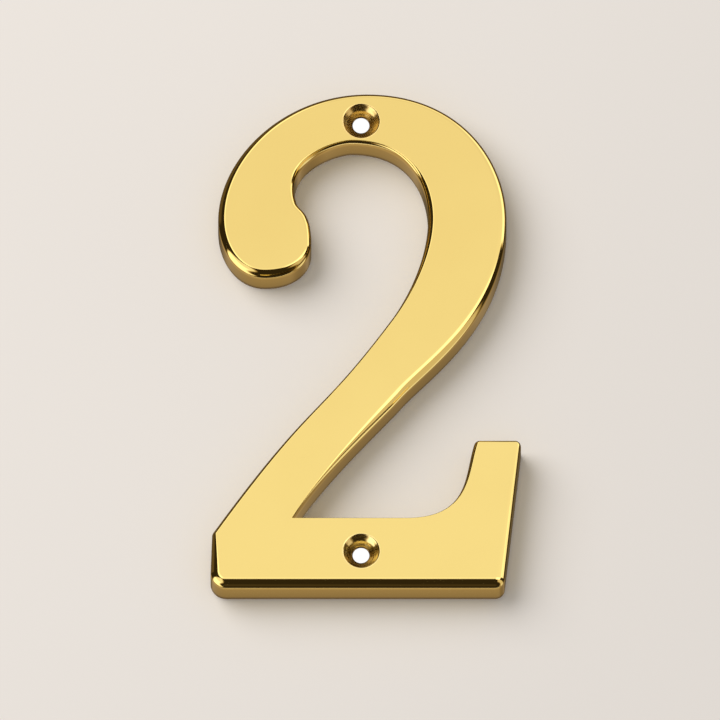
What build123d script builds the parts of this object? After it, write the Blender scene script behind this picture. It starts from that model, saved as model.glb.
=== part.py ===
"""House numeral 2: one die-cast zinc piece, hollow at the back, with two countersunk screw holes.

Millimetres. X is to the right and Z up as the numeral is read, and the front faces -Y.
The origin is midway between the screw holes, in the plane of their inner rims.
"""
import os
from dataclasses import dataclass
from math import acos, cos, radians, sin, tan

from build123d import *

# Overall
HEIGHT = 101.6          # 4 inches, from the base line to the top of the bowl
THICK = 7.1             # front face to back rim
FACE = 2.5              # front web over the hollow
WALL = 2.0              # side walls round the hollow

# Screw holes, one above the other on the line x = 0
HOLE_D = 3.2            # straight part
MOUTH_D = 7.0           # countersink at the front face
SINK_ANGLE = 82.0
HOLE_DROP = 5.95        # top of the bowl to the upper hole
RIM_LAND = 0.35         # flat metal left between the upper countersink and the edge below it

# Round-over of the front edge: even in depth, with a width that follows the polishing
ROUND_DEPTH = 1.6
ROUND_OUTER = 1.45      # ball and outside of the bowl
ROUND_STROKE = 1.2      # inside of the bowl and top
ROUND_LOW = 1.75        # base line and underside of the diagonal
ROUND_END = 0.8         # both ends of the foot, at their tops
ROUND_EDGE = 0.55       # upper side of the diagonal
ROUND_TIGHT = 0.3       # crown of the inner arch, inner corner and foot top
ROUND_STEPS = 6         # bands that make it up, enough to read as round

# Bowl and ball, from the hole line and the top
TOP_RIGHT = 1.2         # highest point, right of the hole line
BOWL_RIGHT = 27.8
BOWL_DROP = 25.95       # top to the widest level of the bowl
BOWL_STROKE = 15.0      # thickness of the stroke at that level
CROWN_LEFT = 1.8        # crown of the inner arch, left of the hole line
BALL_LEFT = 27.3
BALL_W = 17.8
BALL_DROP = 37.7        # top to the underside of the ball
BALL_BULGE = 6.85       # underside up to the widest point on the right
NECK_RISE = 8.55        # from there up to the neck
NECK_IN = 2.85          # neck inside the ball's right side

# Foot, from the hole line and the base line
FOOT_LEFT = 28.85
FOOT_RIGHT = 27.3
FOOT_H = 14.1
SHOULDER_H = 10.9       # left end, up to the start of the diagonal
SHOULDER_IN = 0.4       # lean of the left end
CORNER_LEFT = 12.8      # sharp corner between diagonal and foot
DIAGONAL_OUT = 20.55    # from that corner to the middle of the diagonal's underside
DIAGONAL_UP = 25.1
SWEEP_START = 8.6       # where the foot's top starts to curve up
SERIF_RIGHT = 30.7
SERIF_W = 8.85
SERIF_H = 16.05         # upturned end above the foot's top
LEFT_CORNER = 3.0       # corner radii: base line at the left, at the right, tops of the ends
RIGHT_CORNER = 1.9
SMALL_CORNER = 1.1
EDGE_OUT = 0.828        # a point on the diagonal's upper side, as shares of the way from
EDGE_UP = 0.679         # the shoulder to the inside of the bowl

# Levels
HOLE_PITCH = HEIGHT - HOLE_DROP - FOOT_H / 2
TOP = HOLE_PITCH / 2 + HOLE_DROP
BASE = TOP - HEIGHT
FOOT_TOP = BASE + FOOT_H
SERIF_TOP = FOOT_TOP + SERIF_H
BOWL_LEVEL = TOP - BOWL_DROP
CROWN = HOLE_PITCH / 2 - MOUTH_D / 2 - RIM_LAND - ROUND_TIGHT
BALL_RIGHT = -BALL_LEFT + BALL_W
BALL_LOW = TOP - BALL_DROP
FRONT_Y = -FACE
BACK_Y = THICK - FACE


@dataclass
class Knot:
    """A point of the outline.

    come and leave are the headings, before and after the handles as shares of the chord on each
    side, and width is the round-over there. Two zero shares make a straight run.
    """

    at: Vector
    come: Vector
    leave: Vector
    before: float
    after: float
    width: float


def heading(angle):
    return Vector(cos(radians(angle)), 0, sin(radians(angle)))


def smooth(x, z, angle, before, after, width):
    """A point that the outline runs through without a corner."""
    way = heading(angle)
    return [Knot(Vector(x, 0, z), way, way, before, after, width)]


def corner(point, come, leave, radius, width, before=0, after=0):
    """A corner between two headings, rounded to the radius, or left sharp with radius 0."""
    if radius == 0:
        return [Knot(point, come, leave, before, after, width)]
    turn = acos(come.dot(leave))
    back = radius * tan(turn / 2)
    arm = 2 / 3 * tan(turn / 4) / sin(turn / 2)
    return [
        Knot(point - come * back, come, come, before, arm, width),
        Knot(point + leave * back, leave, leave, arm, after, width),
    ]


def outline(left_corner, right_corner, small_corner):
    """The numeral, clockwise from the lower left corner of the foot."""
    east = heading(0)
    west = heading(180)
    foot_left = Vector(-FOOT_LEFT, 0, BASE)
    foot_right = Vector(FOOT_RIGHT, 0, BASE)
    shoulder = foot_left + Vector(SHOULDER_IN, 0, SHOULDER_H)
    serif_right = Vector(SERIF_RIGHT, 0, SERIF_TOP)
    serif_left = serif_right - Vector(SERIF_W, 0, 0)
    inner = Vector(-CORNER_LEFT, 0, FOOT_TOP)
    middle = inner + Vector(DIAGONAL_OUT, 0, DIAGONAL_UP)
    inside = Vector(BOWL_RIGHT - BOWL_STROKE, 0, BOWL_LEVEL)
    way = inside - shoulder
    edge = shoulder + Vector(way.X * EDGE_OUT, 0, way.Z * EDGE_UP)
    left_end = (shoulder - foot_left).normalized()
    right_end = (foot_right - serif_right).normalized()
    bulge = BALL_LOW + BALL_BULGE

    return [
        # left end of the foot, and the upper side of the diagonal
        *corner(foot_left, west, left_end, left_corner, ROUND_LOW),
        *corner(shoulder, left_end, heading(55.8), small_corner, ROUND_END, 0, 0.618),
        *smooth(edge.X, edge.Z, 55.1, 0.462, 0.265, ROUND_EDGE),
        # inside of the bowl: its right side, its crown, the neck
        *smooth(inside.X, inside.Z, 90, 0.343, 0.309, ROUND_STROKE),
        *smooth(-CROWN_LEFT, CROWN, 180, 0.535, 0.156, ROUND_TIGHT),
        *smooth(BALL_RIGHT - NECK_IN, bulge + NECK_RISE, -74, 0.569, 0.25, ROUND_STROKE),
        # ball: right, below, left
        *smooth(BALL_RIGHT, bulge, -90, 0.808, 0.295, ROUND_STROKE),
        *smooth(BALL_RIGHT - BALL_W / 2, BALL_LOW, 180, 0.541, 0.344, ROUND_OUTER),
        *smooth(-BALL_LEFT, BOWL_LEVEL, 90, 0.447, 0.332, ROUND_OUTER),
        # outside of the bowl, and the underside of the diagonal
        *smooth(TOP_RIGHT, TOP, 0, 0.416, 0.472, ROUND_STROKE),
        *smooth(BOWL_RIGHT, BOWL_LEVEL, -90, 0.341, 0.476, ROUND_OUTER),
        *smooth(middle.X, middle.Z, -130, 0.197, 0.171, ROUND_LOW),
        *corner(inner, heading(-120), east, 0, ROUND_TIGHT, 0.328, 0),
        # foot's top, its sweep up to the serif, and its right end
        *smooth(SWEEP_START, FOOT_TOP, 0, 0, 0.609, ROUND_TIGHT),
        *corner(serif_left, heading(73), east, small_corner, ROUND_END, 0.313, 0),
        *corner(serif_right, east, right_end, small_corner, ROUND_END),
        *corner(foot_right, right_end, west, right_corner, ROUND_LOW),
    ]


def ring(knots, y, inset):
    """The closed outline at depth y, each knot moved inwards by inset(knot)."""

    def moved(knot):
        out_a = Vector(-knot.come.Z, 0, knot.come.X)
        out_b = Vector(-knot.leave.Z, 0, knot.leave.X)
        step = (out_a + out_b) * (inset(knot) / (1 + out_a.dot(out_b)))
        return knot.at - step + Vector(0, y, 0)

    edges = []
    for a, b in zip(knots, knots[1:] + knots[:1]):
        start = moved(a)
        end = moved(b)
        if a.after == 0 and b.before == 0:
            edges.append(Edge.make_line(start, end))
        else:
            chord = (end - start).length
            reach_a = start + a.leave * (a.after * chord)
            reach_b = end - b.come * (b.before * chord)
            edges.append(Edge.make_bezier(start, reach_a, reach_b, end))
    return Wire(edges)


def front_edge(knots):
    """The round-over: a quarter ellipse from the side wall up to the flat face."""
    rings = []
    for i in range(ROUND_STEPS + 1):
        angle = radians(90 * (1 - i / ROUND_STEPS))
        y = FRONT_Y + ROUND_DEPTH * (1 - cos(angle))
        share = 1 - sin(angle)
        rings.append(ring(knots, y, lambda knot: knot.width * share))
    return Solid.make_loft(rings, ruled=True)


def prism(knots, y0, y1, inset):
    face = Face(ring(knots, y0, lambda knot: inset))
    return Solid.extrude(face, Vector(0, y1 - y0, 0))


def screw_hole(z):
    """Cutter for one hole: the countersink, then a straight part through the web."""
    lead = 1.0
    slope = tan(radians(SINK_ANGLE / 2))
    seat = (MOUTH_D - HOLE_D) / 2 / slope
    profile = Polyline(
        (0, FRONT_Y - lead),
        (MOUTH_D / 2 + lead * slope, FRONT_Y - lead),
        (HOLE_D / 2, FRONT_Y + seat),
        (HOLE_D / 2, lead),
        (0, lead),
        close=True,
    )
    return Pos(0, 0, z) * revolve(make_face(profile), Axis.Y)


rounded = outline(LEFT_CORNER, RIGHT_CORNER, SMALL_CORNER)
blank = front_edge(rounded).fuse(prism(rounded, FRONT_Y + ROUND_DEPTH, BACK_Y, 0))
hollow = prism(outline(0, 0, 0), 0, BACK_Y + 1.0, WALL)

numeral = Part() + blank - hollow
for z in (HOLE_PITCH / 2, -HOLE_PITCH / 2):
    numeral -= screw_hole(z)

os.makedirs("parts", exist_ok=True)
export_step(numeral, "parts/numeral_casting.step")
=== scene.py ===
from collections import namedtuple
from functools import reduce
from math import acos, cos, pi, radians, sin, tan

import bmesh
import bpy
from mathutils import Matrix, Vector


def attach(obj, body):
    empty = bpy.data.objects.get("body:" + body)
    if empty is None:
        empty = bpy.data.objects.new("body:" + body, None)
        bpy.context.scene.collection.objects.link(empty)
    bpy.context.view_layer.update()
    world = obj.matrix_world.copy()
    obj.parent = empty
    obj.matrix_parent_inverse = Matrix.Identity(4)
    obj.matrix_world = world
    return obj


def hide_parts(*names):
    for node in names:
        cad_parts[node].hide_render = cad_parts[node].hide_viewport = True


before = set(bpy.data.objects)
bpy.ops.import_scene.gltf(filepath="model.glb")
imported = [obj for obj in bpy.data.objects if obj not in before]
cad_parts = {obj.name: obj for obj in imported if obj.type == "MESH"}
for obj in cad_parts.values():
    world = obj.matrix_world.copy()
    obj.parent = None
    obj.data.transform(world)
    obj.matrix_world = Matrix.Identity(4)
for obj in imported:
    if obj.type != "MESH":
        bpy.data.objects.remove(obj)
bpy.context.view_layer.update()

MM = 0.001

# The numeral's sizes in millimetres, as in the part's source
FACE, THICK, WALL = 2.5, 7.1, 2.0
FRONT_Y, BACK_Y = -FACE, THICK - FACE
HOLE_Z, HOLE_R, MOUTH_R = 44.3, 1.6, 3.5
SINK_HALF = radians(41)         # half the angle of a countersink
ROUND_DEPTH = 1.6               # round-over of the front edge, and its widths by place
OUTER, STROKE, LOW, END, EDGE, TIGHT = 1.45, 1.2, 1.75, 0.8, 0.55, 0.3
SIDE_Y = FRONT_Y + ROUND_DEPTH

# Its outline: levels, places across, and points as x and z
BASE, FOOT_TOP, SERIF_TOP = -51.35, -37.25, -21.2
BOWL_LEVEL, CROWN, TOP = 24.3, 40.15, 50.25
FOOT_LEFT, FOOT_RIGHT = -28.85, 27.3
SHOULDER_IN, SHOULDER_H = 0.4, 10.9
SERIF_RIGHT, SERIF_W = 30.7, 8.85
INNER_X, SWEEP_X = -12.8, 8.6   # foot's top: its sharp corner, and where it starts to curve up
BOWL_INSIDE, BOWL_RIGHT = 12.8, 27.8
CROWN_X, TOP_X = -1.8, 1.2
NECK, BALL_RIGHT, BALL_LOW = (-12.35, 27.95), (-9.5, 19.4), (-18.4, 12.55)
BALL_LEFT = -27.3
UNDERSIDE = 7.75, -12.15        # middle of the diagonal's underside
UPPER_SIDE = 0.828, 0.679       # shares of the way from the shoulder to the inside of the bowl
CORNERS = 3.0, 1.9, 1.1         # radii: lower left, lower right, tops of the ends

# Fineness of the mesh, and the easing that polishing leaves on the countersinks
RUN_CUTS = 48                   # along each run of the outline
ROUND_STEPS = 16                # round the front edge
HOLE_STEPS = 96                 # round each hole
SINK_EASE = 0.2                 # from the rim and the lip to where the easing starts
EASE_STEPS = 6
SHARP = radians(30)             # edges that turn more than this stay crisp
NEAR = 1e-4                     # closer than this is the same place

# Wall of the stage
WALL_GAP = 0.02                 # from the back rim to the wall
WALL_LAP = 0.8                  # of the wall behind the rim
WALL_REACH = 1300               # from the middle to its corners
STAND_UP = Matrix.Rotation(radians(90), 4, "X")

# Finishes in the order of the piece's material slots
PLATE, SINK, CAST = range(3)


# Outline

# A place with the headings before and after it, the handles on both sides as shares of the
# chord, and the width of the round-over; two zero shares make a straight run
Knot = namedtuple("Knot", "at come leave before after width")


def heading(angle):
    return Vector((cos(radians(angle)), 0, sin(radians(angle))))


def smooth(x, z, angle, before, after, width):
    """A point that the outline runs through without a corner."""
    way = heading(angle)
    return [Knot(Vector((x, 0, z)), way, way, before, after, width)]


def corner(point, come, leave, radius, width, before=0.0, after=0.0):
    """A corner between two headings, rounded to the radius, or left sharp with radius 0."""
    if radius == 0:
        return [Knot(point, come, leave, before, after, width)]
    turn = acos(come.dot(leave))
    back = radius * tan(turn / 2)
    arm = 2 / 3 * tan(turn / 4) / sin(turn / 2)
    return [
        Knot(point - come * back, come, come, before, arm, width),
        Knot(point + leave * back, leave, leave, arm, after, width),
    ]


def outline(left_corner, right_corner, small_corner):
    """The numeral, clockwise from the lower left corner of the foot."""
    east, west = heading(0), heading(180)
    foot_left, foot_right = Vector((FOOT_LEFT, 0, BASE)), Vector((FOOT_RIGHT, 0, BASE))
    shoulder = foot_left + Vector((SHOULDER_IN, 0, SHOULDER_H))
    serif_right = Vector((SERIF_RIGHT, 0, SERIF_TOP))
    serif_left = serif_right - Vector((SERIF_W, 0, 0))
    inner = Vector((INNER_X, 0, FOOT_TOP))
    left_end = (shoulder - foot_left).normalized()
    right_end = (foot_right - serif_right).normalized()
    inside = Vector((BOWL_INSIDE, 0, BOWL_LEVEL))
    edge_out, edge_up = UPPER_SIDE
    edge = shoulder + (inside - shoulder) * Vector((edge_out, 0, edge_up))
    return [
        # left end of the foot, and the upper side of the diagonal
        *corner(foot_left, west, left_end, left_corner, LOW),
        *corner(shoulder, left_end, heading(55.8), small_corner, END, 0, 0.618),
        *smooth(edge.x, edge.z, 55.1, 0.462, 0.265, EDGE),
        # inside of the bowl: its right side, its crown, the neck
        *smooth(BOWL_INSIDE, BOWL_LEVEL, 90, 0.343, 0.309, STROKE),
        *smooth(CROWN_X, CROWN, 180, 0.535, 0.156, TIGHT),
        *smooth(*NECK, -74, 0.569, 0.25, STROKE),
        # ball: right, below, left
        *smooth(*BALL_RIGHT, -90, 0.808, 0.295, STROKE),
        *smooth(*BALL_LOW, 180, 0.541, 0.344, OUTER),
        *smooth(BALL_LEFT, BOWL_LEVEL, 90, 0.447, 0.332, OUTER),
        # outside of the bowl, and the underside of the diagonal
        *smooth(TOP_X, TOP, 0, 0.416, 0.472, STROKE),
        *smooth(BOWL_RIGHT, BOWL_LEVEL, -90, 0.341, 0.476, OUTER),
        *smooth(*UNDERSIDE, -130, 0.197, 0.171, LOW),
        *corner(inner, heading(-120), east, 0, TIGHT, 0.328, 0),
        # foot's top, its sweep up to the serif, and its right end
        *smooth(SWEEP_X, FOOT_TOP, 0, 0, 0.609, TIGHT),
        *corner(serif_left, heading(73), east, small_corner, END, 0.313, 0),
        *corner(serif_right, east, right_end, small_corner, END),
        *corner(foot_right, right_end, west, right_corner, LOW),
    ]


def moved(knot, inset):
    """The knot's place, inwards from the outline by inset."""
    out_a = Vector((-knot.come.z, 0, knot.come.x))
    out_b = Vector((-knot.leave.z, 0, knot.leave.x))
    return knot.at - (out_a + out_b) * (inset / (1 + out_a.dot(out_b)))


def lay_ring(bm, knots, y, inset):
    """Lays the outline into the mesh at depth y, each knot inset(knot) inwards; gives its edges."""
    line = bpy.data.curves.new("outline", "CURVE")
    line.dimensions = "3D"
    line.resolution_u = RUN_CUTS
    spline = line.splines.new("BEZIER")
    spline.use_cyclic_u = True
    points = spline.bezier_points
    points.add(len(knots) - 1)
    for point, knot in zip(points, knots):
        point.handle_left_type = point.handle_right_type = "FREE"
        point.co = moved(knot, inset(knot)) + Vector((0, y, 0))
    for i, a in enumerate(knots):
        j = (i + 1) % len(knots)
        b = knots[j]
        run = points[j].co - points[i].co
        if a.after == 0 and b.before == 0:
            out = back = run / 3
        else:
            out, back = a.leave * (a.after * run.length), b.come * (b.before * run.length)
        points[i].handle_right = points[i].co + out
        points[j].handle_left = points[j].co - back
    holder = bpy.data.objects.new("outline", line)
    old = set(bm.edges)
    bm.from_mesh(holder.to_mesh())
    holder.to_mesh_clear()
    bpy.data.objects.remove(holder)
    bpy.data.curves.remove(line)
    return [e for e in bm.edges if e not in old]


# Numeral

def at_depth(bm, y):
    """Open edges of the mesh at depth y."""
    return [e for e in bm.edges if e.is_boundary and all(abs(v.co.y - y) < NEAR for v in e.verts)]


def fill(bm, edges, finish):
    """Flat plate between closed rings of edges."""
    made = bmesh.ops.triangle_fill(bm, use_beauty=True, edges=edges, normal=(0, -1, 0))
    for item in made["geom"]:
        if isinstance(item, bmesh.types.BMFace):
            item.material_index = finish


def countersinks(bm):
    """Both screw holes: a cone eased at its rim and its lip, and a bore through to the hollow."""
    seat = FRONT_Y + (MOUTH_R - HOLE_R) / tan(SINK_HALF)
    section = (MOUTH_R + SINK_EASE, FRONT_Y), (MOUTH_R, FRONT_Y), (HOLE_R, seat), (HOLE_R, 0)
    for z in (HOLE_Z, -HOLE_Z):
        old = set(bm.verts)
        profile = [bm.verts.new((r, y, z)) for r, y in section]
        for pair in zip(profile, profile[1:]):
            bm.edges.new(pair)
        bmesh.ops.bevel(
            bm, geom=profile[1:3], affect="VERTICES", offset=SINK_EASE, offset_type="OFFSET",
            segments=EASE_STEPS, profile=0.5, material=-1,
        )
        bmesh.ops.remove_doubles(bm, verts=[v for v in bm.verts if v not in old], dist=NEAR)
        verts = [v for v in bm.verts if v not in old]
        edges = {e for v in verts for e in v.link_edges}
        bmesh.ops.spin(
            bm, geom=verts + list(edges), cent=(0, 0, z), axis=(0, 1, 0),
            angle=2 * pi, steps=HOLE_STEPS, use_merge=True,
        )
    for face in bm.faces:
        face.material_index = SINK


def front_edge(bm, knots):
    """The round-over, a quarter ellipse from the flat face to the side; gives its two end rings."""
    rings = []
    for k in range(ROUND_STEPS + 1):
        angle = radians(90 * k / ROUND_STEPS)
        share = 1 - sin(angle)
        y = FRONT_Y + ROUND_DEPTH * (1 - cos(angle))
        rings.append(lay_ring(bm, knots, y, lambda knot: knot.width * share))
    for a, b in zip(rings, rings[1:]):
        bmesh.ops.bridge_loops(bm, edges=a + b)
    return rings[0], rings[-1]


def pull(bm, ring, depth, finish):
    """Walls from a ring of edges straight along Y; gives the far ring."""
    made = bmesh.ops.extrude_edge_only(bm, edges=ring)["geom"]
    verts = {item for item in made if isinstance(item, bmesh.types.BMVert)}
    bmesh.ops.translate(bm, verts=list(verts), vec=(0, depth, 0))
    for item in made:
        if isinstance(item, bmesh.types.BMFace):
            item.material_index = finish
    return [
        item for item in made
        if isinstance(item, bmesh.types.BMEdge) and verts.issuperset(item.verts)
    ]


def stand(name, bm, finishes):
    """The finished mesh as an object, in metres."""
    bmesh.ops.scale(bm, vec=(MM, MM, MM), verts=bm.verts)
    mesh = bpy.data.meshes.new(name)
    bm.to_mesh(mesh)
    bm.free()
    for finish in finishes:
        mesh.materials.append(finish)
    piece = bpy.data.objects.new(name, mesh)
    bpy.context.scene.collection.objects.link(piece)
    return piece


def even_normals(piece):
    """Weighs the normals by area, and holds those of the front face straight up to its edges."""
    weigh = piece.modifiers.new("even_normals", "WEIGHTED_NORMAL")
    weigh.keep_sharp = True
    rough = piece.data
    weighed = piece.evaluated_get(bpy.context.evaluated_depsgraph_get())
    mesh = bpy.data.meshes.new_from_object(weighed)
    piece.modifiers.clear()
    front = Vector((0, -1, 0))
    level = (FRONT_Y + NEAR) * MM
    normals = [
        front if mesh.vertices[loop.vertex_index].co.y < level else normal.vector.copy()
        for loop, normal in zip(mesh.loops, mesh.corner_normals)
    ]
    mesh.normals_split_custom_set(normals)
    piece.data = mesh
    bpy.data.meshes.remove(rough)
    mesh.name = piece.name


def numeral(finishes):
    bm = bmesh.new()
    countersinks(bm)
    mouths, bores = at_depth(bm, FRONT_Y), at_depth(bm, 0)
    flat, side = front_edge(bm, outline(*CORNERS))
    fill(bm, flat + mouths, PLATE)
    rim = pull(bm, side, BACK_Y - SIDE_Y, PLATE)

    # hollow of the back, with sharp corners
    lip = lay_ring(bm, outline(0, 0, 0), BACK_Y, lambda knot: WALL)
    floor = pull(bm, lip, -BACK_Y, CAST)
    fill(bm, rim + lip, CAST)
    fill(bm, floor + bores, CAST)

    bmesh.ops.recalc_face_normals(bm, faces=bm.faces)
    for edge in bm.edges:
        edge.smooth = edge.calc_face_angle(0) < SHARP
    for face in bm.faces:
        face.smooth = True
    piece = stand("numeral_polished", bm, finishes)
    even_normals(piece)
    return piece


# Materials

class Net:
    """Short ways to add nodes to an empty tree."""

    def __init__(self, tree):
        self.tree = tree
        tree.nodes.clear()

    def add(self, kind, **values):
        node = self.tree.nodes.new(kind)
        for k, v in values.items():
            setattr(node, k, v)
        return node

    def put(self, socket, value):
        if isinstance(value, bpy.types.NodeSocket):
            self.tree.links.new(value, socket)
        else:
            socket.default_value = value

    def split(self, vector):
        node = self.add("ShaderNodeSeparateXYZ")
        self.put(node.inputs[0], vector)
        return node.outputs

    def math(self, op, *values):
        node = self.add("ShaderNodeMath", operation=op)
        for socket, value in zip(node.inputs, values):
            self.put(socket, value)
        return node.outputs[0]

    def minus(self, a, b):
        return self.math("SUBTRACT", a, b)

    def plus(self, *values):
        return reduce(lambda a, b: self.math("ADD", a, b), values)

    def times(self, *values):
        return reduce(lambda a, b: self.math("MULTIPLY", a, b), values)

    def most(self, *values):
        return reduce(lambda a, b: self.math("MAXIMUM", a, b), values)

    def ramp(self, value, lo, hi, out_lo=0.0, out_hi=1.0):
        """Smooth step from out_lo below lo to out_hi above hi."""
        node = self.add("ShaderNodeMapRange", interpolation_type="SMOOTHSTEP")
        for i, v in enumerate((value, lo, hi, out_lo, out_hi)):
            self.put(node.inputs[i], v)
        return node.outputs[0]

    def above(self, value, edge, soft):
        return self.ramp(value, edge - soft, edge + soft)

    def below(self, value, edge, soft):
        return self.ramp(value, edge - soft, edge + soft, 1.0, 0.0)

    def mix(self, factor, a, b):
        node = self.add("ShaderNodeMix", data_type="RGBA")
        self.put(node.inputs[0], factor)
        self.put(node.inputs[6], a)
        self.put(node.inputs[7], b)
        return node.outputs[2]

    def noise(self, where, scale, detail, rough=0.5):
        node = self.add("ShaderNodeTexNoise")
        self.put(node.inputs["Vector"], where)
        self.put(node.inputs["Scale"], scale)
        self.put(node.inputs["Detail"], detail)
        self.put(node.inputs["Roughness"], rough)
        return node.outputs[0]

    def bump(self, height, strength, distance, normal=None):
        node = self.add("ShaderNodeBump")
        self.put(node.inputs["Strength"], strength)
        self.put(node.inputs["Distance"], distance)
        self.put(node.inputs["Height"], height)
        if normal is not None:
            self.put(node.inputs["Normal"], normal)
        return node.outputs[0]


def material(name):
    mat = bpy.data.materials.new(name)
    mat.use_nodes = True
    return mat, Net(mat.node_tree)


# Marks of casting, polishing and turning, and painted light and shade on the plating: scales of the
# noise, heights, and places in metres
CLOUD_SCALE, WAVE_SCALE, GRAIN_SCALE = 55.0, 90.0, 900.0
WAVE_H, GRAIN_H, TURN_H = 0.0004, 0.0001, 0.0001
TURN_PITCH = 0.0008
PAINTED_LIGHT_REACH = 0.045              # up and down from the middle, over which the painted light runs from the deep tone at the top to the bright at the foot
SIDE_SHADE = 0.0002, 0.001       # painted shade: the side wall darkens between these depths, then slowly on to the back
DARK_BACK = 0.0014              # last of the side wall, painted darker as contact shade at the back rim
DARK_LIP = 0.00165, 0.00205     # radii between which the painted shade on a hole's lip ends
# painted shade: the colours at the side wall's back edge and at a hole's lip
BACK_EDGE_SHADE, LIP_SHADE = (0.12, 0.07, 0.025, 1), (0.16, 0.09, 0.03, 1)


def brass(name, bright, deep, rough, wave, grain, shade=1.0, rings=0.0):
    """Brass plating, with painted light brighter at the foot and deeper at the top, and painted
    shade darkening its sides by shade.
    """
    mat, net = material(name)
    where = net.add("ShaderNodeTexCoord").outputs["Object"]
    x, y, z = net.split(where)
    cloud = net.noise(where, CLOUD_SCALE, 3.0)
    fine = net.noise(where, GRAIN_SCALE, 4.0, 0.6)
    body = net.add("ShaderNodeBsdfPrincipled")
    body.inputs["Metallic"].default_value = 1.0

    # painted light: brighter towards the foot and deeper towards the top, with a random mottle on
    # top
    height = net.plus(net.ramp(z, -PAINTED_LIGHT_REACH, PAINTED_LIGHT_REACH), net.minus(cloud, 0.5))
    # painted shade: the sides darken from the round-over's depth towards the back, by the factor
    # shade
    side, back = SIDE_Y * MM, BACK_Y * MM
    near, far = SIDE_SHADE
    side_shade = net.plus(
        net.ramp(y, side + near, side + far, 0.0, 0.6), net.ramp(y, side, back, 0.0, 0.4),
    )
    shaded_tone = tuple(c * shade for c in deep[:3]) + (1,)
    tone = net.mix(side_shade, net.mix(height, bright, deep), shaded_tone)
    if shade < 1:
        # painted contact shade: the last of the side wall darkens towards the back rim
        tone = net.mix(net.ramp(y, back - DARK_BACK, back, 0.0, 0.9), tone, BACK_EDGE_SHADE)

    uneven = net.plus(cloud, net.times(fine, 0.4))
    net.put(body.inputs["Roughness"], net.ramp(uneven, 0.5, 0.95, *rough))
    normal = net.bump(net.noise(where, WAVE_SCALE, 1.0), wave, WAVE_H)
    if rings:
        # turning marks round the axis of each hole, and painted shade on its lip
        off = net.minus(net.math("ABSOLUTE", z), HOLE_Z * MM)
        radius = net.math("SQRT", net.plus(net.times(x, x), net.times(off, off)))
        turn = net.math("SINE", net.times(radius, 2 * pi / TURN_PITCH))
        normal = net.bump(turn, rings, TURN_H, normal)
        tone = net.mix(net.ramp(radius, *DARK_LIP, 0.8, 0.0), tone, LIP_SHADE)
    net.put(body.inputs["Base Color"], tone)
    net.put(body.inputs["Normal"], net.bump(fine, grain, GRAIN_H, normal))
    net.put(net.add("ShaderNodeOutputMaterial").inputs["Surface"], body.outputs[0])
    return mat


polished = brass(
    "polished_brass_plate", bright=(0.94, 0.715, 0.24, 1), deep=(0.885, 0.655, 0.212, 1),
    rough=(0.05, 0.09), wave=0.05, grain=0.01, shade=0.58,
)
sink = brass(
    "countersink_plate", bright=(0.97, 0.75, 0.30, 1), deep=(0.92, 0.67, 0.25, 1),
    rough=(0.16, 0.26), wave=0.05, grain=0.02, shade=0.95, rings=0.1,
)
as_cast = brass(
    "plated_casting_back", bright=(0.72, 0.55, 0.25, 1), deep=(0.58, 0.43, 0.19, 1),
    rough=(0.32, 0.5), wave=0.2, grain=0.35,
)

piece = numeral([polished, sink, as_cast])
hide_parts("numeral_casting")
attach(piece, "root")


# Stage: a pale wall behind the rim, open under the numeral and clear from behind

PAINT = (0.815, 0.774, 0.735, 1), (0.83, 0.789, 0.75, 1)
PAINT_SCALE = 6.0


def wall_material():
    mat, net = material("pale_wall")
    where = net.add("ShaderNodeTexCoord").outputs["Object"]
    paint = net.add("ShaderNodeBsdfDiffuse")
    patchy = net.ramp(net.noise(where, PAINT_SCALE, 2.0), 0.3, 0.7)
    net.put(paint.inputs["Color"], net.mix(patchy, *PAINT))
    clear = net.add("ShaderNodeBsdfTransparent")
    pick = net.add("ShaderNodeMixShader")
    net.put(pick.inputs[0], net.add("ShaderNodeNewGeometry").outputs["Backfacing"])
    net.put(pick.inputs[1], paint.outputs[0])
    net.put(pick.inputs[2], clear.outputs[0])
    net.put(net.add("ShaderNodeOutputMaterial").inputs["Surface"], pick.outputs[0])
    return mat


def wall():
    bm = bmesh.new()
    made = bmesh.ops.create_circle(bm, segments=4, radius=WALL_REACH, matrix=STAND_UP)
    square = made["verts"]
    border = list({e for v in square for e in v.link_edges})
    bmesh.ops.translate(bm, verts=square, vec=(0, BACK_Y + WALL_GAP, 0))
    opening = lay_ring(bm, outline(*CORNERS), BACK_Y + WALL_GAP, lambda knot: WALL_LAP)
    fill(bm, border + opening, 0)
    for face in bm.faces:
        if face.normal.y > 0:
            face.normal_flip()
    piece = stand("wall", bm, [wall_material()])
    piece.visible_glossy = False
    return piece


wall()


# Light: a soft key lamp from the upper left, and a world that metal sees as a studio

KEY_PLACE = Vector((-0.83, -1.0, 0.54))
KEY_SIZE, KEY_POWER, KEY_COLOUR = 1.4, 17.8, (1.0, 0.97, 0.93)

# Levels of the studio, where 1 shows a colour as it is written
FRONT_LIGHT = 1.04, 0.94        # big front light, at its foot and at its top
LEFT_BORDER, FOOT_BORDER, TOP_BORDER, RIGHT_BORDER = 0.65, 0.75, 0.35, 0.6
FRONT_LEAN = 0.52               # its right side reaches further back
LEFT_CARD = 1.05, 1.6           # low card on the left, at its front and further back
RIGHT_CARD, BACK_CARD = 0.72, 0.95
REAR, REAR_RIGHT = (0.46, 0.12), 0.66
CEILING, FLOOR, REAR_LINE = 0.12, 0.06, 1.2
DARK = 0.03                     # where nothing stands
DIM_TINT, WHITE = (1.0, 0.74, 0.42, 1), (1, 1, 1, 1)

# Plain light that the wall sees, straight and, on top of it, by way of the metal
WALL_LIGHT, THROWN_LIGHT = 0.45, 0.55


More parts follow.
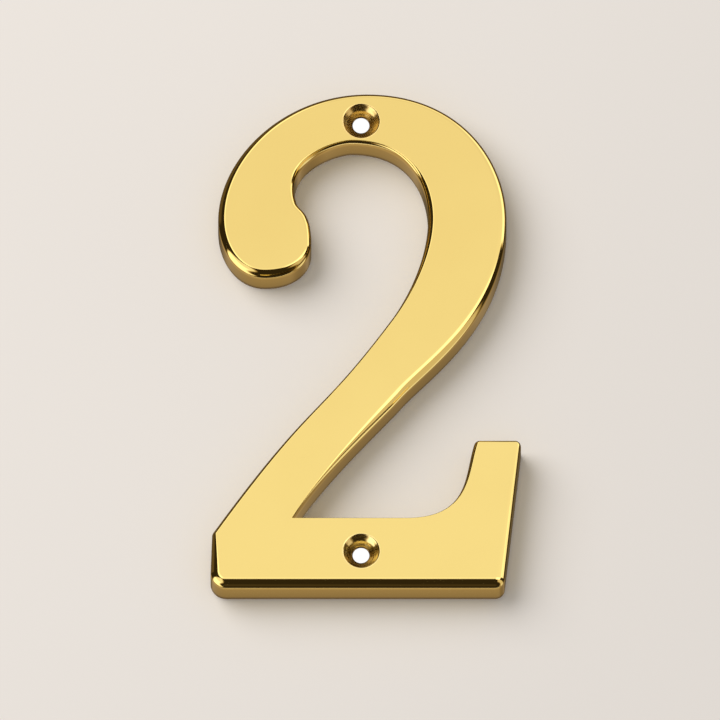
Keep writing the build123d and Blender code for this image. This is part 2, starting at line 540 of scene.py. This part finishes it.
def key_lamp():
    data = bpy.data.lights.new("key", "AREA")
    data.shape = "DISK"
    data.size = KEY_SIZE
    data.energy = KEY_POWER
    data.color = KEY_COLOUR
    lamp = bpy.data.objects.new("key", data)
    lamp.location = KEY_PLACE
    lamp.rotation_euler = (-KEY_PLACE).to_track_quat("-Z", "Y").to_euler()
    lamp.visible_camera = False
    lamp.visible_glossy = False
    bpy.context.scene.collection.objects.link(lamp)


def studio():
    """The world, laid out by direction: each border is an edge and its softness along an axis."""
    world = bpy.data.worlds.new("studio")
    bpy.context.scene.world = world
    world.use_nodes = True
    world.cycles.sampling_method = "NONE"
    net = Net(world.node_tree)
    x, y, z = net.split(net.add("ShaderNodeTexCoord").outputs["Generated"])
    plus, minus, times, most = net.plus, net.minus, net.times, net.most
    ramp, above, below = net.ramp, net.above, net.below

    # big soft front light over a foot that rises and falls, brighter along its borders
    foot = plus(
        ramp(x, -0.42, -0.22, 0.08, -0.10),
        ramp(x, 0.05, 0.25, 0.0, -0.10),
        ramp(x, 0.72, 0.92, 0.0, 0.44),
    )
    front = times(
        above(x, -0.37, 0.05),
        above(minus(z, foot), 0.0, 0.04),
        below(minus(y, times(x, FRONT_LEAN)), -0.25, 0.08),
    )
    foot_border = most(above(x, 0.16, 0.05), times(above(z, 0.05, 0.03), 0.2))
    border = most(
        times(below(x, -0.15, 0.08), LEFT_BORDER),
        times(below(z, 0.15, 0.06), foot_border, FOOT_BORDER),
        times(above(z, 0.85, 0.06), TOP_BORDER),
        times(above(y, -0.42, 0.15), above(x, 0.4, 0.1), RIGHT_BORDER),
    )
    front = times(front, plus(ramp(z, 0.2, 0.6, *FRONT_LIGHT), border))

    # low cards on the left and on the right, and one behind on the right
    left = times(
        below(x, -0.28, 0.10), below(z, -0.13, 0.05), above(z, -0.80, 0.1), below(y, 0.65, 0.1),
        ramp(y, -0.55, -0.35, *LEFT_CARD),
    )
    right = times(
        above(x, 0.45, 0.12), below(z, -0.17, 0.05), above(z, -0.62, 0.1), below(y, 0.6, 0.1),
        RIGHT_CARD,
    )
    behind = times(
        above(y, 0.38, 0.1), above(x, 0.50, 0.08), below(z, -0.15, 0.05), above(z, -0.42, 0.05),
        BACK_CARD,
    )

    # what lies behind, with a bright line low in it, and faint light from above and below
    rear = times(
        above(y, 0.62, 0.12), above(z, -0.5, 0.05),
        ramp(z, 0.15, 0.38, *REAR), ramp(x, 0.28, 0.40, 1.0, REAR_RIGHT),
    )
    line = times(above(y, 0.7, 0.1), above(z, -0.5, 0.03), below(z, -0.44, 0.02), REAR_LINE)
    ceiling = times(above(z, 0.32, 0.06), above(y, -0.25, 0.1), CEILING)
    floor = times(below(z, -0.96, 0.02), FLOOR)
    total = most(front, left, right, behind, rear, line, ceiling, floor, DARK)
    tint = net.mix(ramp(total, 0.3, 1.0), DIM_TINT, WHITE)

    # the metal sees the studio, the wall a plain soft light, and the camera white
    path = net.add("ShaderNodeLightPath")
    glossy, camera = path.outputs["Is Glossy Ray"], path.outputs["Is Camera Ray"]
    thrown = times(glossy, net.math("MINIMUM", path.outputs["Diffuse Depth"], 1.0))
    mirrored = minus(glossy, thrown)
    soft = times(minus(1.0, mirrored), WALL_LIGHT)
    level = plus(times(total, mirrored), soft, times(thrown, THROWN_LIGHT))
    background = net.add("ShaderNodeBackground")
    net.put(background.inputs["Color"], net.mix(mirrored, WHITE, tint))
    net.put(background.inputs["Strength"], plus(times(level, minus(1.0, camera)), camera))
    net.put(net.add("ShaderNodeOutputWorld").inputs["Surface"], background.outputs[0])


key_lamp()
studio()


# Camera: from the front, 22 degrees below, with no visible perspective

LOOK_UP = radians(22)
FRAME_SIZE = 0.1376             # side of the square picture, in metres on the numeral
AIM = Vector((-0.00019, FRONT_Y * MM, -0.00495))
AWAY = 1.2

scene = bpy.context.scene
scene.view_settings.view_transform = "Standard"
lens = bpy.data.cameras.new("camera")
lens.type = "ORTHO"
lens.ortho_scale = FRAME_SIZE
lens.clip_start, lens.clip_end = 0.05, 10.0
back = Vector((0, -cos(LOOK_UP), -sin(LOOK_UP)))
camera = bpy.data.objects.new("camera", lens)
camera.location = AIM + back * AWAY
camera.rotation_euler = (-back).to_track_quat("-Z", "Y").to_euler()
scene.collection.objects.link(camera)
scene.camera = camera
